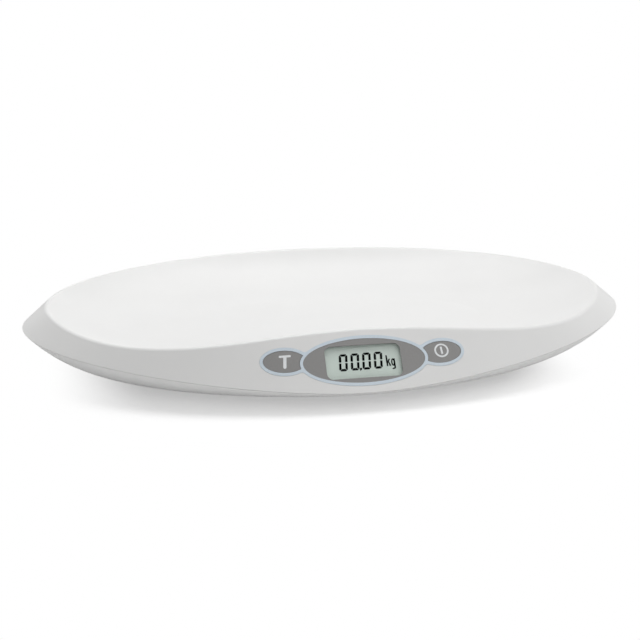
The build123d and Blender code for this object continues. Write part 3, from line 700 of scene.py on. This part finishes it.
class SCALE_OT_studio(ScaleOperator, bpy.types.Operator):
    """Sets up the pale floor, the soft lights and the camera"""

    bl_idname = "scale.studio"
    bl_label = "Studio"

    def execute(self, context):
        scene = bpy.context.scene
        scene.view_settings.view_transform = "Standard"
        deselect_all()
        bpy.ops.mesh.primitive_plane_add(size=self.sizes.floor, location=(0, 0, 0))
        floor = bpy.context.active_object
        floor.name = "studio_floor"
        finish_with(floor, self.floor_paper())
        scene.world = self.air()
        for name, (place, size, power) in softboxes.items():
            self.soft_light(name, place, size, power)
        self.camera(scene)
        return {"FINISHED"}

    def air(self):
        """Even light from all sides; white where it is looked at, mirrored or seen through the window."""
        world = bpy.data.worlds.new("studio_air")
        tree = empty_tree(world)
        path = add_node(tree, "ShaderNodeLightPath").outputs
        seen = path["Is Camera Ray"]
        for other in ("Is Glossy Ray", "Is Transmission Ray"):
            seen = add_node(tree, "ShaderNodeMath", {0: seen, 1: path[other]}, operation="MAXIMUM")
        dim = add_node(tree, "ShaderNodeBackground", {"Color": linear("#FFFFFF"), "Strength": air_light})
        white = add_node(tree, "ShaderNodeBackground", {"Color": linear("#FFFFFF"), "Strength": 1.0})
        mix = add_node(tree, "ShaderNodeMixShader", {0: seen, 1: dim, 2: white})
        add_node(tree, "ShaderNodeOutputWorld", {"Surface": mix})
        return world

    def floor_paper(self):
        """Seamless paper, matt and pale; to the eye it is painted white outside an oval round the scale, over
        any shadow there.
        """
        material = bpy.data.materials.new("seamless_paper")
        tree = empty_tree(material)
        white = linear("#FFFFFF")
        paper = add_node(tree, "ShaderNodeBsdfDiffuse", {"Color": linear(self.colours.floor)})
        glow = add_node(tree, "ShaderNodeEmission", {"Color": white, "Strength": paper_glow})
        lit = add_node(tree, "ShaderNodeAddShader", {0: paper, 1: glow})
        # to the eye the shadow is thinned by painted light: the paper is drawn a little darker and a white
        # glow is painted over it
        thin = add_node(tree, "ShaderNodeBsdfDiffuse", {"Color": shade(self.colours.floor, shadow_depth)})
        lift = add_node(tree, "ShaderNodeEmission", {"Color": white, "Strength": shadow_lift})
        near = add_node(tree, "ShaderNodeAddShader", {0: thin, 1: lift})
        # outside the oval the paper is painted white to the eye, over any shadow that falls there
        far = add_node(tree, "ShaderNodeEmission", {"Color": white, "Strength": 1.0})
        looked_at = add_node(tree, "ShaderNodeMixShader", {0: self.painted_white_fade(tree), 1: near, 2: far})
        seen = add_node(tree, "ShaderNodeLightPath").outputs["Is Camera Ray"]
        both = add_node(tree, "ShaderNodeMixShader", {0: seen, 1: lit, 2: looked_at})
        # the paper is one-sided, so that the feet and the battery lid can be looked at from below
        below = add_node(tree, "ShaderNodeNewGeometry").outputs["Backfacing"]
        clear = add_node(tree, "ShaderNodeBsdfTransparent")
        one_sided = add_node(tree, "ShaderNodeMixShader", {0: below, 1: both, 2: clear})
        add_node(tree, "ShaderNodeOutputMaterial", {"Surface": one_sided})
        return material

    def painted_white_fade(self, tree):
        """Mask for the painted white: 0 in the oval's core and 1 beyond its reach, over an oval with straight
        sides from front to back.
        """
        place = add_node(tree, "ShaderNodeTexCoord").outputs["Object"]
        for step, *values in (
            ("SUBTRACT", (shadow_middle, 0, 0)),
            ("ABSOLUTE",),
            ("SUBTRACT", (0, shadow_side, 0)),
            ("MAXIMUM", (0, 0, 0)),
            ("DIVIDE", (*shadow_reach, 1)),
        ):
            place = add_node(tree, "ShaderNodeVectorMath", dict(enumerate([place, *values])), operation=step)
        reach = add_node(tree, "ShaderNodeVectorMath", {0: place}, operation="LENGTH").outputs["Value"]
        fade = {"Value": reach, "From Min": shadow_core, "From Max": 1.0}
        return add_node(tree, "ShaderNodeMapRange", fade, interpolation_type="SMOOTHSTEP")

    def soft_light(self, name, place, size, power):
        deselect_all()
        bpy.ops.object.light_add(type="AREA", location=place)
        light = bpy.context.active_object
        light.name = name
        light.data.size = size
        light.data.energy = power
        light.rotation_euler = (Vector(aim) - Vector(place)).to_track_quat("-Z", "Y").to_euler()

    def camera(self, scene):
        """A long lens, a little above the tray and to the left of its middle."""
        level = cos(camera_elevation)
        back = Vector((sin(camera_azimuth) * level, -cos(camera_azimuth) * level, sin(camera_elevation)))
        deselect_all()
        bpy.ops.object.camera_add(location=Vector(aim) + back * camera_distance)
        camera = bpy.context.active_object
        camera.rotation_euler = back.to_track_quat("Z", "Y").to_euler()
        camera.data.sensor_width = camera_sensor
        camera.data.lens = camera_lens
        camera.data.shift_x, camera.data.shift_y = camera_shift
        camera.data.clip_end = camera_sight
        scene.camera = camera


class SCALE_PT_panel(bpy.types.Panel):
    """Lists the sizes, the colours and the steps that make the scale"""

    bl_idname = "SCALE_PT_panel"
    bl_label = "Baby scale"
    bl_space_type = "VIEW_3D"
    bl_region_type = "UI"
    bl_category = "Baby scale"

    def draw(self, context):
        layout = self.layout
        for group in (context.scene.scale_sizes, context.scene.scale_colours):
            for name in group.bl_rna.properties.keys():
                if name not in ("rna_type", "name"):
                    layout.prop(group, name)
        for step in steps:
            layout.operator(step.bl_idname)


steps = [
    SCALE_OT_finish_nodes,
    SCALE_OT_display_segments,
    SCALE_OT_tare_mark,
    SCALE_OT_power_mark,
    SCALE_OT_studio,
]
classes = [ScaleSizes, ScaleColours, *steps, SCALE_PT_panel]


def register():
    for each in classes:
        bpy.utils.register_class(each)
    bpy.types.Scene.scale_sizes = PointerProperty(type=ScaleSizes)
    bpy.types.Scene.scale_colours = PointerProperty(type=ScaleColours)


def unregister():
    del bpy.types.Scene.scale_colours
    del bpy.types.Scene.scale_sizes
    for each in reversed(classes):
        bpy.utils.unregister_class(each)


def main():
    register()
    bpy.ops.scale.finish_nodes()
    bpy.ops.scale.display_segments()
    bpy.ops.scale.tare_mark()
    bpy.ops.scale.power_mark()
    bpy.ops.scale.studio()


if __name__ == "__main__":
    main()
